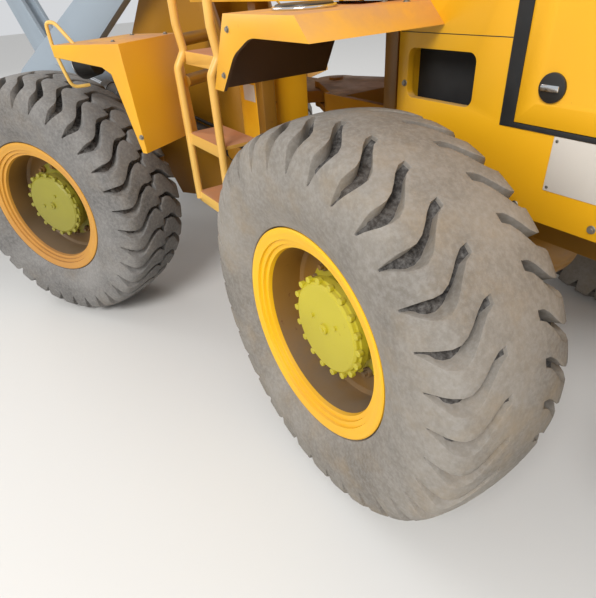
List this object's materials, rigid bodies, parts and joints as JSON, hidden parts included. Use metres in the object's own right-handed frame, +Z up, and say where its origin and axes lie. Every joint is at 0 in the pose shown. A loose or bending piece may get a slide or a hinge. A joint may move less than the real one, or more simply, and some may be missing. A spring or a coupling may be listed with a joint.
{
  "type": "wheel loader",
  "caption": "Articulated wheel loader with a hollow cab, opening doors, a hood over its engine, lift arm, tilting bucket, steered front frame and rolling wheels",
  "frame": {"origin": "centre of the footprint's box at ground level", "axes": "+X is the rear frame's forward direction, +Y its left, +Z up"},
  "size_m": [6.9539, 4.2198, 3.0298],
  "materials": {
    "yellow_paint": "dusty worn gloss",
    "rim_paint": "dusty worn gloss",
    "arm_paint": "dusty satin",
    "bucket_paint": "worn and dusty",
    "weight_paint": "satin",
    "tyre": "dusty matt",
    "cast_iron": "oily",
    "worn_steel": "scoured",
    "black_paint": "satin",
    "chrome": "polished",
    "glass": "dusty clear",
    "seat_vinyl": "worn vinyl",
    "black_plastic": "matt",
    "lamp_lens": "clear lens"
  },
  "bodies": {
    "rear_frame": {"rear_chassis": "yellow_paint", "counterweight": "weight_paint", "engine_hood": "yellow_paint", "radiator_grille": "black_paint", "engine": "cast_iron", "transmission": "cast_iron", "rear_axle": "yellow_paint", "side_tanks": "yellow_paint", "cab_shell": "yellow_paint", "cab_glass": "glass", "cab_roof": "yellow_paint", "operator_seat": "seat_vinyl", "steering_column": "black_paint", "rear_fenders": "yellow_paint", "ladders": "yellow_paint", "exhaust_stack": "black_paint", "air_precleaner": "black_plastic", "tail_lamps": "lamp_lens"},
    "front_frame": {"front_chassis": "yellow_paint", "front_axle": "yellow_paint", "front_propshaft": "worn_steel", "front_fenders": "yellow_paint", "headlamps": "lamp_lens"},
    "lift_arm": {"lift_arm": "arm_paint"},
    "bell_crank": {"bell_crank": "arm_paint"},
    "bucket_link": {"bucket_link": "arm_paint"},
    "bucket": {"bucket": "bucket_paint", "cutting_edge": "worn_steel"},
    "lift_barrels": {"lift_barrels": "black_paint"},
    "lift_rods": {"lift_rods": "chrome"},
    "tilt_barrel": {"tilt_barrel": "black_paint"},
    "tilt_rod": {"tilt_rod": "chrome"},
    "steer_barrel_left": {"steer_barrel_left": "black_paint"},
    "steer_rod_left": {"steer_rod_left": "chrome"},
    "cab_door_left": {"cab_door_left": "yellow_paint", "door_glass_left": "glass"},
    "hood_door_left": {"hood_door_left": "yellow_paint"},
    "steer_barrel_right": {"steer_barrel_right": "black_paint"},
    "steer_rod_right": {"steer_rod_right": "chrome"},
    "cab_door_right": {"cab_door_right": "yellow_paint", "door_glass_right": "glass"},
    "hood_door_right": {"hood_door_right": "yellow_paint"},
    "wheel_front_left": {"tyre_front_left": "tyre", "rim_front_left": "rim_paint"},
    "wheel_front_right": {"tyre_front_right": "tyre", "rim_front_right": "rim_paint"},
    "wheel_rear_left": {"tyre_rear_left": "tyre", "rim_rear_left": "rim_paint"},
    "wheel_rear_right": {"tyre_rear_right": "tyre", "rim_rear_right": "rim_paint"}
  },
  "joints": [
    {"name": "articulation", "type": "hinge", "parent": "rear_frame", "child": "front_frame", "pos_m": [-0.42204, -0.96491, 1.00985], "axis": [0, 0, 1], "range_deg": [-67, 3]},
    {"name": "lift", "type": "hinge", "parent": "front_frame", "child": "lift_arm", "pos_m": [0.21399, -0.56747, 1.77985], "axis": [0.5299, -0.848, 0], "range_deg": [0, 83]},
    {"name": "bucket_tilt", "type": "hinge", "parent": "lift_arm", "child": "bucket", "pos_m": [1.85582, 0.45846, 0.30985], "axis": [0.5299, -0.848, 0], "range_deg": [-125, 45]},
    {"name": "crank_turn", "type": "hinge", "parent": "lift_arm", "child": "bell_crank", "pos_m": [1.31646, 0.12143, 1.11985], "axis": [0.5299, -0.848, 0], "range_deg": [-12.25, 32.25]},
    {"name": "link_turn", "type": "hinge", "parent": "bucket", "child": "bucket_link", "pos_m": [1.84225, 0.44998, 0.60985], "axis": [0.5299, -0.848, 0], "range_deg": [-36.1, 98.5]},
    {"name": "lift_barrels_turn", "type": "hinge", "parent": "front_frame", "child": "lift_barrels", "pos_m": [-0.04042, -0.72644, 0.79985], "axis": [0.5299, -0.848, 0], "range_deg": [-1, 42.1]},
    {"name": "lift_rods_slide", "type": "slide", "parent": "lift_barrels", "child": "lift_rods", "axis": [0.7994, 0.4995, 0.3337], "range_m": [-0.01, 0.80075]},
    {"name": "tilt_barrel_turn", "type": "hinge", "parent": "front_frame", "child": "tilt_barrel", "pos_m": [0.27336, -0.53037, 1.90485], "axis": [0.5299, -0.848, 0], "range_deg": [-1, 90.79]},
    {"name": "tilt_rod_slide", "type": "slide", "parent": "tilt_barrel", "child": "tilt_rod", "axis": [0.8373, 0.5232, -0.1587], "range_m": [-0.32896, 0.12482]},
    {"name": "steer_barrel_left_turn", "type": "hinge", "parent": "rear_frame", "child": "steer_barrel_left", "pos_m": [-0.94204, -0.5449, 0.73985], "axis": [0, 0, 1], "range_deg": [-16.22, 1.68]},
    {"name": "steer_rod_left_slide", "type": "slide", "parent": "steer_barrel_left", "child": "steer_rod_left", "axis": [0.999, -0.0458, 0], "range_m": [-0.02315, 0.41029]},
    {"name": "cab_door_left_turn", "type": "hinge", "parent": "rear_frame", "child": "cab_door_left", "pos_m": [-1.49204, -0.20391, 2.19985], "axis": [0, 0, 1], "range_deg": [0, 95]},
    {"name": "hood_door_left_turn", "type": "hinge", "parent": "rear_frame", "child": "hood_door_left", "pos_m": [-2.92204, -0.35391, 1.49985], "axis": [0, 0, 1], "range_deg": [0, 90]},
    {"name": "steer_barrel_right_turn", "type": "hinge", "parent": "rear_frame", "child": "steer_barrel_right", "pos_m": [-0.94204, -1.38491, 0.73985], "axis": [0, 0, 1], "range_deg": [-19.55, 1.83]},
    {"name": "steer_rod_right_slide", "type": "slide", "parent": "steer_barrel_right", "child": "steer_rod_right", "axis": [0.9474, 0.32, 0], "range_m": [-0.37015, 0.02135]},
    {"name": "cab_door_right_turn", "type": "hinge", "parent": "rear_frame", "child": "cab_door_right", "pos_m": [-1.49204, -1.72591, 2.19985], "axis": [0, 0, -1], "range_deg": [0, 95]},
    {"name": "hood_door_right_turn", "type": "hinge", "parent": "rear_frame", "child": "hood_door_right", "pos_m": [-2.92204, -1.5759, 1.49985], "axis": [0, 0, -1], "range_deg": [0, 90]},
    {"name": "wheel_front_left_roll", "type": "hinge", "parent": "front_frame", "child": "wheel_front_left", "pos_m": [0.14784, 0.48194, 0.64485], "axis": [-0.5299, 0.848, 0], "continuous": true},
    {"name": "wheel_rear_left_roll", "type": "hinge", "parent": "rear_frame", "child": "wheel_rear_left", "pos_m": [-1.72204, -0.03991, 0.64485], "axis": [0, 1, 0], "continuous": true},
    {"name": "wheel_front_right_roll", "type": "hinge", "parent": "front_frame", "child": "wheel_front_right", "pos_m": [1.12819, -1.08695, 0.64485], "axis": [-0.5299, 0.848, 0], "continuous": true},
    {"name": "wheel_rear_right_roll", "type": "hinge", "parent": "rear_frame", "child": "wheel_rear_right", "pos_m": [-1.72204, -1.8899, 0.64485], "axis": [0, 1, 0], "continuous": true}
  ],
  "couplings": [
    {"joint": "crank_turn", "follows": "bucket_tilt", "ratio": -0.25},
    {"joint": "link_turn", "follows": "bucket_tilt", "ratio": -0.78},
    {"joint": "lift_barrels_turn", "follows": "lift", "ratio": 0.49519},
    {"joint": "lift_rods_slide", "follows": "lift", "m_per_rad": 0.54586},
    {"joint": "tilt_barrel_turn", "follows": "lift", "ratio": 1.0818},
    {"joint": "tilt_rod_slide", "follows": "bucket_tilt", "m_per_rad": 0.1462},
    {"joint": "steer_barrel_left_turn", "follows": "articulation", "ratio": 0.22717},
    {"joint": "steer_rod_left_slide", "follows": "articulation", "m_per_rad": -0.34659},
    {"joint": "steer_barrel_right_turn", "follows": "articulation", "ratio": 0.27691},
    {"joint": "steer_rod_right_slide", "follows": "articulation", "m_per_rad": 0.31226}
  ]
}
